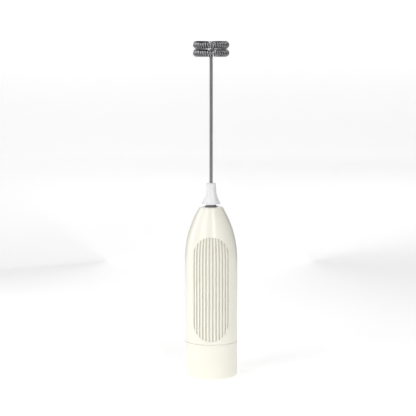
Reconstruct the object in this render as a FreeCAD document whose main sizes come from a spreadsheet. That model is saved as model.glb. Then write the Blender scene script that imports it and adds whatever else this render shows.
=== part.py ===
import FreeCAD, Part
import math
import os
import Sketcher

# Battery milk frother. Millimetres. The origin is the middle of the bottom face, +Z runs up
# through the whisk, and -Y is the front, where the finger grooves are.

Vector = FreeCAD.Vector
Z_AXIS = Vector(0, 0, 1)
X_AXIS = Vector(1, 0, 0)
ALONG_Y = FreeCAD.Rotation(X_AXIS, -90)
ALONG_X = FreeCAD.Rotation(Vector(0, 1, 0), 90)

GROOVES = 12
FLUTES = 6
POLES = 3

SIZES = [
    # outside of the handle
    ("handle_radius", 16.5, "outside radius of the handle"),
    ("handle_wall", 1.9, "wall of the shell and the cap"),
    ("base_round", 1.3, "round on the bottom edge"),
    ("seam_level", 22.3, "where the cap ends and the shell starts"),
    ("seam_gap", 0.1, "gap between the cap and the shell"),
    ("seam_chamfer", 0.25, "chamfer on both edges of the seam"),
    ("shoulder_level", 73.5, "where the straight side ends"),
    ("nose_level", 106.9, "top of the handle"),
    ("nose_radius", 7.0, "radius of the flat nose"),
    ("nose_round", 0.7, "round on the edge of the nose"),
    ("nose_hole", 4.4, "radius of the hole in the nose"),
    # finger grooves
    ("groove_bottom", 24.3, "lowest point of the grooved patch"),
    ("groove_top", 89.3, "highest point of the grooved patch"),
    ("groove_reach", 10.8, "half the width of the grooved patch"),
    ("groove_width", 1.0, "width of one groove"),
    ("groove_depth", 0.7, "depth of one groove"),
    ("groove_pitch", 7.2, "degrees from groove to groove"),
    # cap and its joint with the shell
    ("cap_floor", 2.0, "thickness of the cap's floor"),
    ("spigot_radius", 15.35, "outside radius of the cap's spigot"),
    ("spigot_height", 4.0, "height of the cap's spigot"),
    ("spigot_fit", 0.05, "clearance of the spigot in the shell"),
    ("seal_inner", 14.95, "floor of the seal's groove"),
    ("seal_height", 1.0, "height of the seal"),
    ("seal_rise", 1.7, "from the cap's shoulder to the seal"),
    # cells and contacts
    ("cell_radius", 7.1, "radius of an AA cell"),
    ("cell_length", 50.5, "length of an AA cell over its nub"),
    ("nub_radius", 2.75, "radius of the cell's nub"),
    ("nub_height", 1.3, "height of the cell's nub"),
    ("cell_offset", 7.2, "from the axis to a cell's middle"),
    ("sheet_metal", 0.4, "thickness of the contact plates"),
    ("contact_width", 7.0, "width of a contact plate"),
    ("dimple_height", 0.8, "height of the contact's dimple"),
    ("spring_wire", 0.35, "radius of the contact springs' wire"),
    ("spring_height", 4.0, "height of the cap's spring"),
    ("tab_width", 1.6, "width of a solder tab"),
    ("tab_reach", 9.6, "from the axis to a contact's tab"),
    # carriage
    ("carriage_radius", 14.2, "radius over the carriage's posts"),
    ("carriage_foot", 8.0, "lowest point of the carriage"),
    ("bulkhead_level", 57.3, "underside of the carriage's bulkhead"),
    ("bulkhead_height", 2.0, "thickness of the bulkhead"),
    ("bulkhead_radius", 14.55, "radius of the bulkhead"),
    ("bay_radius", 7.35, "radius of a cell's bay"),
    ("bay_window", 11.5, "from the axis to the side windows"),
    ("core_radius", 1.8, "radius of the holes that core the posts"),
    ("core_offset", 11.2, "from the axis to those holes"),
    # motor holder and its screws
    ("holder_radius", 11.2, "outside radius of the motor holder"),
    ("holder_flat", 8.7, "from the axis to the holder's flats"),
    ("holder_wall", 1.5, "thickness of the holder's end wall"),
    ("flange_radius", 14.2, "radius of the holder's flange"),
    ("flange_height", 2.0, "thickness of the holder's flange"),
    ("standoff_height", 2.2, "height of the holder's standoffs"),
    ("standoff_radius", 2.0, "radius of the standoffs"),
    ("screw_offset", 12.1, "from the axis to a screw"),
    ("screw_radius", 0.9, "radius of a screw's thread"),
    ("screw_head", 1.7, "radius of a screw's head"),
    ("screw_length", 6.0, "length of a screw under its head"),
    ("head_height", 1.0, "height of a screw's head"),
    ("hole_play", 0.05, "clearance round a screw and the motor"),
    ("holder_throat", 8.6, "radius of the opening under the motor"),
    ("mouth_half", 6.2, "half the width of the holder's front opening"),
    ("mouth_lintel", 3.0, "height left over that opening"),
    ("notch_half", 5.6, "half the width of the flange's notch for the leads"),
    ("notch_outer", 12.6, "from the axis to the outer side of that notch"),
    ("screw_slot", 0.4, "width of a screw's cross slots"),
    ("slot_length", 2.0, "length of a screw's cross slots"),
    # motor
    ("motor_bottom", 67.0, "lowest point of the motor's can"),
    ("motor_top", 92.0, "front face of the motor's can"),
    ("can_radius", 10.0, "radius of the motor's can"),
    ("can_flat", 7.5, "from the axis to the can's flats"),
    ("can_wall", 0.5, "sheet of the can"),
    ("boss_radius", 3.0, "radius of the can's front boss"),
    ("boss_height", 1.6, "height of the can's front boss"),
    ("bell_height", 2.2, "thickness of the end bell's plate"),
    ("plug_height", 2.0, "height of the end bell's plug"),
    ("bush_radius", 2.2, "outside radius of a bush"),
    ("bush_height", 2.0, "length of a bush"),
    ("shaft_radius", 1.0, "radius of the motor's shaft and the whisk's wire"),
    ("shaft_play", 0.02, "clearance of the shaft in a bush"),
    ("shaft_bottom", 64.4, "lowest point of the motor's shaft"),
    ("shaft_top", 107.0, "highest point of the motor's shaft"),
    ("magnet_inner", 6.5, "inside radius of a magnet"),
    ("magnet_outer", 9.4, "outside radius of a magnet"),
    ("magnet_half", 5.6, "half the height of a magnet's arc"),
    ("magnet_bottom", 73.0, "lowest point of the magnets"),
    ("magnet_length", 15.0, "length of the magnets"),
    ("core_outer", 5.9, "radius of the armature's core"),
    ("core_bottom", 75.0, "lowest point of the core"),
    ("core_length", 11.0, "length of the core"),
    ("pole_pocket", 1.7, "radius of a winding pocket"),
    ("pocket_offset", 3.6, "from the axis to a winding pocket"),
    ("pole_gap", 1.0, "gap between two poles"),
    ("winding_radius", 5.0, "radius over the windings"),
    ("winding_overhang", 1.6, "how far the windings stand past the core"),
    ("commutator_radius", 2.2, "radius of the commutator"),
    ("commutator_bottom", 69.5, "lowest point of the commutator"),
    ("commutator_length", 3.5, "length of the commutator"),
    ("segment_gap", 0.3, "gap between two segments of the commutator"),
    ("segment_depth", 0.4, "depth of that gap"),
    ("brush_gap", 0.05, "gap between a brush and the commutator"),
    ("brush_width", 2.0, "width and height of a brush"),
    ("brush_depth", 2.3, "radial length of a brush"),
    ("leaf_thickness", 0.3, "thickness of the brush's leaf"),
    ("terminal_offset", 4.8, "from the axis to a motor terminal"),
    ("terminal_length", 2.5, "length of a motor terminal"),
    ("terminal_width", 2.4, "width of a motor terminal"),
    ("terminal_eye", 0.4, "radius of the eye in a terminal"),
    ("capacitor_radius", 1.6, "radius of the noise capacitor"),
    ("capacitor_thickness", 1.2, "thickness of the noise capacitor"),
    ("capacitor_front", 0.4, "from the axis to the capacitor"),
    ("capacitor_leg", 0.25, "radius of the capacitor's legs"),
    # drive hub and nose seal
    ("hub_radius", 3.1, "radius of the drive hub"),
    ("hub_bottom", 104.0, "lowest point of the drive hub"),
    ("hub_top", 108.5, "where the hub's hexagon starts"),
    ("hex_flats", 3.2, "across the flats of the hub's hexagon"),
    ("hex_height", 5.4, "height of the hub's hexagon"),
    ("seal_play", 0.1, "gap between the hub and the nose seal"),
    ("lip_radius", 5.4, "radius of the nose seal's flange"),
    ("lip_height", 1.0, "height of the nose seal's flange"),
    ("seal_recess", 0.3, "how far the nose seal sits under the nose"),
    # whisk
    ("collar_bottom", 108.6, "lowest point of the collar"),
    ("collar_rim", 5.75, "radius of the collar's rim"),
    ("rim_height", 0.9, "height of the collar's rim"),
    ("cone_foot", 5.45, "radius at the foot of the collar's cone"),
    ("cone_top", 117.5, "where the collar's cone meets its neck"),
    ("cone_hollow", 24.0, "radius of the cone's hollow side"),
    ("neck_foot", 3.2, "radius at the foot of the neck"),
    ("neck_radius", 3.0, "radius at the top of the neck"),
    ("collar_top", 121.8, "highest point of the collar"),
    ("collar_chamfer", 0.5, "chamfer on the neck"),
    ("skirt_radius", 4.4, "radius of the recess under the collar"),
    ("skirt_depth", 1.3, "depth of that recess"),
    ("socket_play", 0.05, "clearance of the hexagon in its socket"),
    ("socket_top", 116.0, "end of the collar's socket"),
    ("flute_radius", 5.0, "radius of the tool that cuts a flute"),
    ("flute_depth", 0.4, "how deep a flute is"),
    ("flute_foot", 111.3, "lowest point of a flute"),
    ("flute_tip", 117.9, "highest point of a flute"),
    ("notch_depth", 0.25, "depth of the neck's short notches"),
    ("notch_foot", 118.6, "lowest point of a notch"),
    ("notch_tip", 120.9, "highest point of a notch"),
    ("wire_bottom", 116.5, "where the whisk's wire starts"),
    ("ring_radius", 8.85, "radius of the whisk's rings"),
    ("lower_ring", 202.2, "height of the lower ring"),
    ("upper_ring", 207.15, "height of the upper ring"),
    ("shaft_bend", 3.0, "radius of the bend at the top of the shaft"),
    ("ring_bend", 2.5, "radius of the bend into the ring"),
    ("climb_start", 110.0, "degrees, where the wire leaves the lower ring"),
    ("climb_end", 60.0, "degrees, where the wire joins the upper ring"),
    ("wire_end", 106.0, "degrees, where the wire ends"),
    ("lower_coil_start", 62.0, "degrees, where the lower coil starts"),
    ("upper_coil_start", 72.0, "degrees, where the upper coil starts"),
    ("coil_end", 104.0, "degrees, where both coils end"),
    ("coil_pitch", 1.27, "from turn to turn of a coil"),
    ("coil_radius", 2.12, "radius of a coil to the wire's middle"),
    ("coil_wire", 0.33, "radius of the coil's wire"),
    # power button and switch
    ("button_level", 85.0, "height of the button's middle"),
    ("button_radius", 4.6, "radius of the button"),
    ("button_play", 0.1, "clearance of the button in its hole"),
    ("button_proud", 0.3, "how far the button stands out"),
    ("button_flange", 5.6, "radius of the button's flange"),
    ("flange_inner", 11.9, "from the axis to the flange's inner face"),
    ("flange_outer", 12.5, "from the axis to the flange's outer face"),
    ("seat_radius", 6.0, "radius of the flange's seat"),
    ("seat_face", 12.6, "from the axis to the seat's face"),
    ("button_bore", 3.7, "radius of the button's recess"),
    ("button_roof", 13.7, "from the axis to the recess's end"),
    ("stem_radius", 1.2, "radius of the button's stem"),
    ("board_thickness", 0.8, "thickness of the switch board"),
    ("board_half", 5.5, "half the width of the switch board"),
    ("board_bottom", 77.0, "lowest point of the switch board"),
    ("board_top", 91.0, "highest point of the switch board"),
    ("switch_half", 2.5, "half the width of the switch"),
    ("switch_face", 11.7, "from the axis to the switch's face"),
    ("pin_reach", 0.9, "how far a pin stands out of the switch"),
    ("pin_thickness", 0.3, "thickness of a pin"),
    ("pin_width", 0.6, "width of a pin"),
    ("pin_offset", 1.4, "from the switch's middle to a pin"),
    ("plunger_radius", 1.5, "radius of the switch's plunger"),
    ("plunger_play", 0.05, "clearance of the plunger"),
    ("plunger_inner", 11.0, "from the axis to the plunger's inner end"),
    ("plunger_outer", 12.9, "from the axis to the plunger's outer end"),
    ("well_floor", 9.7, "from the axis to the floor of the plunger's well"),
    ("return_radius", 2.05, "radius of the button's spring"),
    ("return_wire", 0.16, "radius of that spring's wire"),
    # wiring
    ("lead_radius", 0.6, "radius of a lead over its sleeve"),
]


class Measure:
    """A number taken from the sheet, together with the formula that gives it."""

    def __init__(self, number, formula):
        self.number = number
        self.formula = formula

    @staticmethod
    def of(value):
        if isinstance(value, Measure):
            return value
        return Measure(float(value), "(" + repr(float(value)) + ")")

    def joined(self, other, sign, number):
        formula = "(" + self.formula + sign + Measure.of(other).formula + ")"
        return Measure(number, formula)

    def __add__(self, other):
        return self.joined(other, " + ", self.number + Measure.of(other).number)

    def __sub__(self, other):
        return self.joined(other, " - ", self.number - Measure.of(other).number)

    def __mul__(self, other):
        return self.joined(other, " * ", self.number * Measure.of(other).number)

    def __truediv__(self, other):
        return self.joined(other, " / ", self.number / Measure.of(other).number)

    def __radd__(self, other):
        return Measure.of(other) + self

    def __rsub__(self, other):
        return Measure.of(other) - self

    def __rmul__(self, other):
        return Measure.of(other) * self

    def __neg__(self):
        return Measure.of(0) - self

    def root(self):
        return Measure(math.sqrt(self.number), "sqrt(" + self.formula + ")")


class Sizes:
    """The sheet of driving dimensions; each one reads as a Measure."""

    def __init__(self, document):
        self.sheet = document.addObject("Spreadsheet::Sheet", "Sizes")
        for row, (alias, number, note) in enumerate(SIZES, start=1):
            self.sheet.set(f"A{row}", note)
            self.sheet.set(f"B{row}", str(number))
            self.sheet.setAlias(f"B{row}", alias)
        document.recompute()

    def __getattr__(self, alias):
        return Measure(float(getattr(self.sheet, alias)), "Sizes." + alias)


doc = FreeCAD.newDocument("milk_frother")
size = Sizes(doc)
pieces = []


def finish(feature):
    """Count a document object as a piece of the frother; its Label names its file."""
    pieces.append(feature)
    return feature


# ---------------------------------------------------------------- primitives and booleans


def bind(feature, prop, value):
    feature.setExpression(prop, Measure.of(value).formula)


def place(feature, x, y, z, rotation=None):
    if rotation:
        feature.Placement = FreeCAD.Placement(Vector(), rotation)
    bind(feature, "Placement.Base.x", x)
    bind(feature, "Placement.Base.y", y)
    bind(feature, "Placement.Base.z", z)


def cylinder(name, radius, bottom, top, x=0, y=0):
    """An upright cylinder between two heights."""
    feature = doc.addObject("Part::Cylinder", name)
    bind(feature, "Radius", radius)
    bind(feature, "Height", Measure.of(top) - bottom)
    place(feature, x, y, bottom)
    return feature


def cross_cylinder(name, radius, inner, outer, level):
    """A cylinder along +Y, between two distances from the handle's axis."""
    feature = doc.addObject("Part::Cylinder", name)
    bind(feature, "Radius", radius)
    bind(feature, "Height", Measure.of(outer) - inner)
    place(feature, 0, inner, level, ALONG_Y)
    return feature


def cone(name, lower, upper, bottom, top, x=0):
    feature = doc.addObject("Part::Cone", name)
    bind(feature, "Radius1", lower)
    bind(feature, "Radius2", upper)
    bind(feature, "Height", Measure.of(top) - bottom)
    place(feature, x, 0, bottom)
    return feature


def box(name, x_span, y_span, z_span):
    feature = doc.addObject("Part::Box", name)
    for prop, (low, high) in zip(("Length", "Width", "Height"), (x_span, y_span, z_span)):
        bind(feature, prop, Measure.of(high) - low)
    place(feature, x_span[0], y_span[0], z_span[0])
    return feature


def hexagon(name, flats, bottom, top):
    feature = doc.addObject("Part::Prism", name)
    feature.Polygon = 6
    bind(feature, "Circumradius", flats / math.sqrt(3))
    bind(feature, "Height", Measure.of(top) - bottom)
    place(feature, 0, 0, bottom)
    return feature


def fuse(name, *shapes):
    feature = doc.addObject("Part::MultiFuse", name)
    feature.Shapes = list(shapes)
    feature.Refine = True
    return feature


def common(name, *shapes):
    feature = doc.addObject("Part::MultiCommon", name)
    feature.Shapes = list(shapes)
    return feature


def cut(name, base, *tools):
    tool = tools[0]
    if len(tools) > 1:
        tool = fuse(name + "_cutters", *tools)
    feature = doc.addObject("Part::Cut", name)
    feature.Base = base
    feature.Tool = tool
    return feature


def group(name, *shapes):
    """Several equal pieces that share one node."""
    feature = doc.addObject("Part::Compound", name)
    feature.Links = list(shapes)
    return feature


def flatted(name, radius, flat, bottom, top):
    """A round block with two flats, front and back, as small motors have."""
    block = cylinder(name + "_round", radius, bottom, top)
    slab = box(name + "_slab", (-radius, radius), (-flat, flat), (bottom, top))
    return common(name, block, slab)


# ---------------------------------------------------------------- sketched bodies


def plane_of(body, role):
    return next(plane for plane in body.Origin.OriginFeatures if plane.Role == role)


def pin_down(sketch, geometry, end, x, y, fix_x=True):
    """Bind one point of a sketch to two measures, or to an axis where a measure is zero."""
    for kind, axis, value in (("DistanceX", -2, x), ("DistanceY", -1, y)):
        value = Measure.of(value)
        if kind == "DistanceX" and not fix_x:
            continue
        if value.number == 0:
            sketch.addConstraint(Sketcher.Constraint("PointOnObject", geometry, end, axis))
            continue
        ends = (-1, 1, geometry, end) if value.number > 0 else (geometry, end, -1, 1)
        amount = value if value.number > 0 else -value
        index = sketch.addConstraint(Sketcher.Constraint(kind, *ends, amount.number))
        sketch.setExpression(f"Constraints[{index}]", amount.formula)


def outline(body, name, role, corners, lift=None):
    """A closed sketch through the corners.

    Each corner is x, y and, where an arc leaves it, that arc's centre, of which the sketch
    keeps the height: the two ends of the arc give the rest.
    """
    sketch = body.newObject("Sketcher::SketchObject", name)
    sketch.AttachmentSupport = [(plane_of(body, role), "")]
    sketch.MapMode = "FlatFace"
    if lift is not None:
        bind(sketch, "AttachmentOffset.Base.z", lift)
    spots = [Vector(Measure.of(c[0]).number, Measure.of(c[1]).number, 0) for c in corners]
    ends = []
    for here, corner in enumerate(corners):
        start, stop = spots[here], spots[(here + 1) % len(spots)]
        if len(corner) == 2:
            sketch.addGeometry(Part.LineSegment(start, stop))
            ends.append((1, 2))
            continue
        centre = Vector(corner[2][0].number, corner[2][1].number, 0)
        angles = [math.atan2(p.y - centre.y, p.x - centre.x) for p in (start, stop)]
        anticlockwise = (angles[1] - angles[0]) % (2 * math.pi) < math.pi
        sweep = angles if anticlockwise else angles[::-1]
        circle = Part.Circle(centre, Z_AXIS, (start - centre).Length)
        sketch.addGeometry(Part.ArcOfCircle(circle, *sweep))
        ends.append((1, 2) if anticlockwise else (2, 1))
    for here, corner in enumerate(corners):
        after = (here + 1) % len(corners)
        joint = Sketcher.Constraint("Coincident", here, ends[here][1], after, ends[after][0])
        sketch.addConstraint(joint)
        pin_down(sketch, here, ends[here][0], corner[0], corner[1])
        if len(corner) == 3:
            pin_down(sketch, here, 3, corner[2][0], corner[2][1], fix_x=False)
    return sketch


def new_body(name):
    return doc.addObject("PartDesign::Body", name)


def turned(body, name, corners, kind="Revolution"):
    """A Revolution, or a Groove, of an outline about the handle's axis."""
    sketch = outline(body, name + "_outline", "XZ_Plane", corners)
    feature = body.newObject("PartDesign::" + kind, name)
    feature.Profile = sketch
    feature.ReferenceAxis = (sketch, ["V_Axis"])
    feature.Angle = 360
    body.Tip = feature
    return feature


def tube(name, outer, inner, bottom, top):
    """A plain ring, turned."""
    body = new_body(name)
    turned(body, name + "_turning", [(inner, bottom), (outer, bottom), (outer, top), (inner, top)])
    return body


def ring_edges(feature, radius, level):
    """Names of a feature's round edges about the axis, of this radius at this height."""
    found = []
    for number, edge in enumerate(feature.Shape.Edges, start=1):
        curve = edge.Curve
        if not isinstance(curve, Part.Circle) or math.hypot(curve.Center.x, curve.Center.y) > 1e-6:
            continue
        if abs(curve.Radius - radius.number) < 1e-4 and abs(curve.Center.z - level.number) < 1e-4:
            found.append(f"Edge{number}")
    return found


def softened(body, kind, name, amount, radius, level):
    """A Fillet or a Chamfer on one round edge of the body."""
    doc.recompute()
    base = body.Tip
    feature = body.newObject("PartDesign::" + kind, name)
    feature.Base = (base, ring_edges(base, radius, level))
    bind(feature, "Radius" if kind == "Fillet" else "Size", amount)
    body.Tip = feature
    return feature


def shoulder_corners(bottom, top, offset):
    """The handle's side, moved outwards by offset: bottom, shoulder, and the arc's end."""
    fall = size.handle_radius - size.nose_radius
    rise = size.nose_level - size.shoulder_level
    bend = (fall * fall + rise * rise) / (2 * fall)
    centre = (size.handle_radius - bend, size.shoulder_level)
    reach = bend + offset
    height = Measure.of(top) - size.shoulder_level
    end = centre[0] + (reach * reach - height * height).root()
    side = size.handle_radius + offset
    return [(side, bottom), (side, size.shoulder_level, centre), (end, top)]


def shoulder_solid(name, bottom, top, offset):
    """A solid inside the handle's side, moved outwards by offset."""
    body = new_body(name)
    corners = [(0, bottom)] + shoulder_corners(bottom, top, offset) + [(0, top)]
    turned(body, name + "_turning", corners)
    return body


# ---------------------------------------------------------------- wire, cut from arcs


def arc_edge(start, heading, end):
    """The arc from start, leaving along heading, to end."""
    chord = end - start
    normal = heading.cross(chord)
    if normal.Length < 1e-7 * chord.Length:
        return Part.LineSegment(start, end).toShape()
    opening = math.acos(max(-1.0, min(1.0, heading.dot(chord) / chord.Length)))
    side = normal.cross(chord).normalize()
    rise = chord.Length / 2 * math.tan(opening / 2)
    return Part.Arc(start, (start + end) * 0.5 - side * rise, end).toShape()


def arc_pair(start, heading, end, arrival):
    """Two tangent arcs that leave start along heading and reach end along arrival."""
    span = end - start
    both = heading + arrival
    turn = 2 * (1 - heading.dot(arrival))
    if turn < 1e-12:
        reach = span.dot(span) / (4 * span.dot(arrival))
    else:
        reach = (math.sqrt(span.dot(both) ** 2 + turn * span.dot(span)) - span.dot(both)) / turn
    first = start + heading * reach
    last = end - arrival * reach
    middle = (first + last) * 0.5
    return [arc_edge(start, heading, middle), arc_edge(middle, (last - first).normalize(), end)]


def arc_chain(stations):
    """Tangent arcs through stations, which are points, each with its direction."""
    edges = []
    for (start, heading), (end, arrival) in zip(stations, stations[1:]):
        edges += arc_pair(start, heading, end, arrival)
    return edges


def rounded_runs(points):
    """Straight runs through the points, with each corner rounded as far as its runs allow."""
    edges = []
    last = points[0]
    for before, corner, after in zip(points, points[1:], points[2:]):
        back = (before - corner).normalize()
        ahead = (after - corner).normalize()
        reach = 0.45 * min((before - corner).Length, (after - corner).Length)
        start = corner + back * reach
        edges.append(Part.LineSegment(last, start).toShape())
        edges.append(arc_edge(start, -back, corner + ahead * reach))
        last = corner + ahead * reach
    edges.append(Part.LineSegment(last, points[-1]).toShape())
    return edges


def wire_piece(name, edges, radius, level=0.0):
    """A round wire along the edges, as a document object lifted to its level."""
    path = Part.Wire(edges)
    start = path.Edges[0]
    heading = start.tangentAt(start.FirstParameter)
    section = Part.Circle(start.Vertexes[0].Point, heading, radius).toShape()
    solid = path.makePipeShell([Part.Wire([section])], True, False)
    wanted = math.pi * radius ** 2 * path.Length
    if abs(solid.Volume - wanted) > 0.01 * wanted:
        raise ValueError(f"{name}: the volume of the wire is off by more than 1%")
    feature = doc.addObject("Part::Feature", name)
    feature.Shape = solid
    feature.Placement = FreeCAD.Placement(Vector(0, 0, level), FreeCAD.Rotation())
    return finish(feature)


STATIONS_PER_TURN = 4


def coil_stations(turns, lower, upper, height, x=0.0):
    """Stations along a coil spring that stands on z = 0, its radius going from lower to upper."""
    stations = []
    count = int(turns * STATIONS_PER_TURN)
    for step in range(count + 1):
        share = step / count
        angle = 2 * math.pi * turns * share
        radius = lower + (upper - lower) * share
        outward = Vector(math.cos(angle), math.sin(angle), 0)
        around = Vector(-math.sin(angle), math.cos(angle), 0)
        speed = outward * (upper - lower) + around * radius * 2 * math.pi * turns
        speed.z = height
        stations.append((Vector(x, 0, height * share) + outward * radius, speed.normalize()))
    return stations


def ring_coil_stations(ring, coil, start, span, turns):
    """Stations along a coil that is bent round a ring in the plane z = 0."""
    stations = []
    count = turns * STATIONS_PER_TURN
    for step in range(count + 1):
        share = step / count
        twist = 2 * math.pi * turns * share
        angle = start + span * share
        outward = Vector(math.cos(angle), math.sin(angle), 0)
        around = Vector(-math.sin(angle), math.cos(angle), 0)
        reach = ring + coil * math.cos(twist)
        rate = 2 * math.pi * turns * coil
        speed = around * reach * span - outward * rate * math.sin(twist)
        speed.z = rate * math.cos(twist)
        point = outward * reach + Vector(0, 0, coil * math.sin(twist))
        stations.append((point, speed.normalize()))
    return stations


# ---------------------------------------------------------------- outside of the handle


def grip_grooves():
    """The material that the twelve finger grooves take out of the shell."""
    skin = cylinder("groove_skin", size.handle_radius + 2, size.groove_bottom - 2,
                    size.groove_top + 2)
    floor = shoulder_solid(
        "groove_floor", size.groove_bottom - 3, size.groove_top + 3, -size.groove_depth
    )
    band = cut("groove_band", skin, floor)
    reach = size.groove_reach
    lower, upper = size.groove_bottom + reach, size.groove_top - reach
    front = (-(size.handle_radius + 3), 0)
    middle = box("groove_middle", (-reach, reach), front, (lower, upper))
    ends = []
    for name, level in (("groove_lower_end", lower), ("groove_upper_end", upper)):
        ends.append(cross_cylinder(name, reach, front[0], 0, level))
    patch = fuse("groove_patch", middle, *ends)
    slots = []
    half = size.groove_width / 2
    for number in range(GROOVES):
        slot = box(
            f"groove_slot_{number + 1}", (-half, half), (0, size.handle_radius + 3),
            (size.groove_bottom - 1, size.groove_top + 1),
        )
        # turned about the handle's axis, then moved sideways so that its middle stays radial
        angle = size.groove_pitch * (number - (GROOVES - 1) / 2) + 180
        slot.Placement.Rotation = FreeCAD.Rotation(Z_AXIS, angle.number)
        slot.setExpression("Placement.Rotation.Angle", angle.formula + " * 1 deg")
        bind(slot, "Placement.Base.x", half * -math.cos(math.radians(angle.number)))
        bind(slot, "Placement.Base.y", half * -math.sin(math.radians(angle.number)))
        slots.append(slot)
    return common("groove_cutter", band, patch, fuse("groove_slots", *slots))


def handle_shell():
    body = new_body("shell_form")
    outer = shoulder_corners(size.seam_level, size.nose_level, 0)
    turned(body, "shell_outside", [(0, size.seam_level)] + outer + [(0, size.nose_level)])
    ceiling = size.nose_level - size.handle_wall
    inner = shoulder_corners(size.seam_level, ceiling, -size.handle_wall)
    turned(body, "shell_inside", [(0, size.seam_level)] + inner + [(0, ceiling)], "Groove")
    softened(body, "Fillet", "nose_edge", size.nose_round, size.nose_radius, size.nose_level)
    softened(body, "Chamfer", "shell_seam_edge", size.seam_chamfer, size.handle_radius,
             size.seam_level)
    joint = cylinder(
        "shell_counterbore", size.spigot_radius + size.spigot_fit, size.seam_level - 1,
        size.seam_level + size.spigot_height + 0.3,
    )
    hole = cylinder("shell_nose_hole", size.nose_hole, ceiling - 1, size.nose_level + 1)
    level = size.button_level
    opening = cross_cylinder(
        "shell_button_hole", size.button_radius + size.button_play, size.flange_inner,
        size.handle_radius + 2, level,
    )
    seat = cross_cylinder("shell_button_seat", size.seat_radius, 8, size.seat_face, level)
    return finish(cut("handle_shell", body, grip_grooves(), joint, hole, opening, seat))


def battery_cap():
    body = new_body("battery_cap")
    top = size.seam_level - size.seam_gap
    bore = size.handle_radius - size.handle_wall
    groove = top + size.seal_rise
    corners = [
        (0, 0), (size.handle_radius, 0), (size.handle_radius, top),
        (size.spigot_radius, top), (size.spigot_radius, groove),
        (size.seal_inner, groove), (size.seal_inner, groove + size.seal_height),
        (size.spigot_radius, groove + size.seal_height),
        (size.spigot_radius, top + size.spigot_height), (bore, top + size.spigot_height),
        (bore, size.cap_floor), (0, size.cap_floor),
    ]
    turned(body, "cap_turning", corners)
    softened(body, "Fillet", "cap_base_edge", size.base_round, size.handle_radius, Measure.of(0))
    softened(body, "Chamfer", "cap_seam_edge", size.seam_chamfer, size.handle_radius, top)
    return finish(body)


def cap_seal():
    bottom = size.seam_level - size.seam_gap + size.seal_rise
    outer = size.spigot_radius + size.spigot_fit * 0.4
    return finish(tube("cap_seal", outer, size.seal_inner, bottom, bottom + size.seal_height))


def nose_seal():
    """A rubber lip that keeps milk out of the motor."""
    body = new_body("nose_seal")
    under = size.nose_level - size.handle_wall
    bore = size.hub_radius + size.seal_play
    top = size.nose_level - size.seal_recess
    corners = [
        (bore, under - size.lip_height), (size.lip_radius, under - size.lip_height),
        (size.lip_radius, under), (size.nose_hole, under), (size.nose_hole, top), (bore, top),
    ]
    turned(body, "nose_seal_turning", corners)
    return finish(body)


# ---------------------------------------------------------------- cells and contacts


def bulkhead_top():
    return size.bulkhead_level + size.bulkhead_height


def battery_carriage():
    offset = size.cell_offset
    foot, roof = size.carriage_foot, size.bulkhead_level
    tray = cylinder("carriage_tray", size.carriage_radius, foot, roof)
    window = size.bay_window
    reach = size.carriage_radius + 1
    cutters = []
    for side, sign in (("left", -1), ("right", 1)):
        cutters.append(
            cylinder(f"carriage_bay_{side}", size.bay_radius, foot - 1, roof, offset * sign)
        )
        x_span = (window, reach) if sign > 0 else (-reach, -window)
        cutters.append(box(f"carriage_window_{side}", x_span, (-reach, reach), (foot - 1, roof)))
        cutters.append(
            cylinder(f"carriage_core_{side}", size.core_radius, foot - 1, roof - 2,
                     0, size.core_offset * sign)
        )
    posts = cut("carriage_posts", tray, *cutters)
    bulkhead = cylinder("carriage_bulkhead", size.bulkhead_radius, roof, bulkhead_top())
    holes = []
    half = size.tab_width / 2 + size.hole_play
    slot = size.sheet_metal / 2 + size.hole_play
    for side, sign in (("left", -1), ("right", 1)):
        holes.append(
            cylinder(f"carriage_screw_hole_{side}", size.screw_radius + size.hole_play,
                     roof - 1, roof + 4, size.screw_offset * sign)
        )
        middle = size.tab_reach * sign
        holes.append(
            box(f"carriage_tab_slot_{side}", (middle - slot, middle + slot), (-half, half),
                (roof - 1, roof + 4))
        )
    return finish(cut("battery_carriage", fuse("carriage_block", posts, bulkhead), *holes))


def cell(name, sign, bottom):
    """An AA cell, nub up where sign is -1 and nub down where it is 1."""
    x = size.cell_offset * sign
    top = bottom + size.cell_length
    low, high = (bottom, top - size.nub_height) if sign < 0 else (bottom + size.nub_height, top)
    barrel = cylinder(name + "_barrel", size.cell_radius, low, high, x)
    nub = cylinder(name + "_nub", size.nub_radius, bottom, top, x)
    return finish(fuse(name, barrel, nub))


def cells():
    """The two cells, end for end: the left one's nub meets the bulkhead's contact."""
    plate = size.cap_floor + size.sheet_metal
    cell("cell_nub_up", -1, plate + size.spring_height)
    cell("cell_nub_down", 1, plate + size.dimple_height)


def top_contact(name, sign):
    """A plate under the bulkhead, with a tab that stands up through it."""
    roof = size.bulkhead_level
    inner, outer = size.cell_offset - 4.2, size.tab_reach + size.sheet_metal / 2
    x_span = (inner, outer) if sign > 0 else (-outer, -inner)
    half = size.contact_width / 2
    plate = box(name + "_plate", x_span, (-half, half), (roof - size.sheet_metal, roof))
    middle = size.tab_reach * sign
    thin = size.sheet_metal / 2
    tab = box(
        name + "_tab", (middle - thin, middle + thin), (-size.tab_width / 2, size.tab_width / 2),
        (roof - size.sheet_metal, bulkhead_top() + 1.3),
    )
    return finish(fuse(name, plate, tab))


def contact_springs():
    """Two cone springs: one on the cap, one under the bulkhead."""
    wire = size.spring_wire.number
    offset = size.cell_offset.number
    base = (size.cap_floor + size.sheet_metal).number + wire
    rise = size.spring_height.number - 2 * wire
    wire_piece("cap_spring", arc_chain(coil_stations(4, 4.6, 2.4, rise, -offset)), wire, base)
    flat_end = (size.cap_floor + size.sheet_metal + size.dimple_height + size.cell_length).number
    ceiling = (size.bulkhead_level - size.sheet_metal).number
    rise = ceiling - flat_end - 2 * wire
    stations = coil_stations(3, 4.2, 2.4, rise, offset)
    wire_piece("negative_spring", arc_chain(stations), wire, flat_end + wire)


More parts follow.
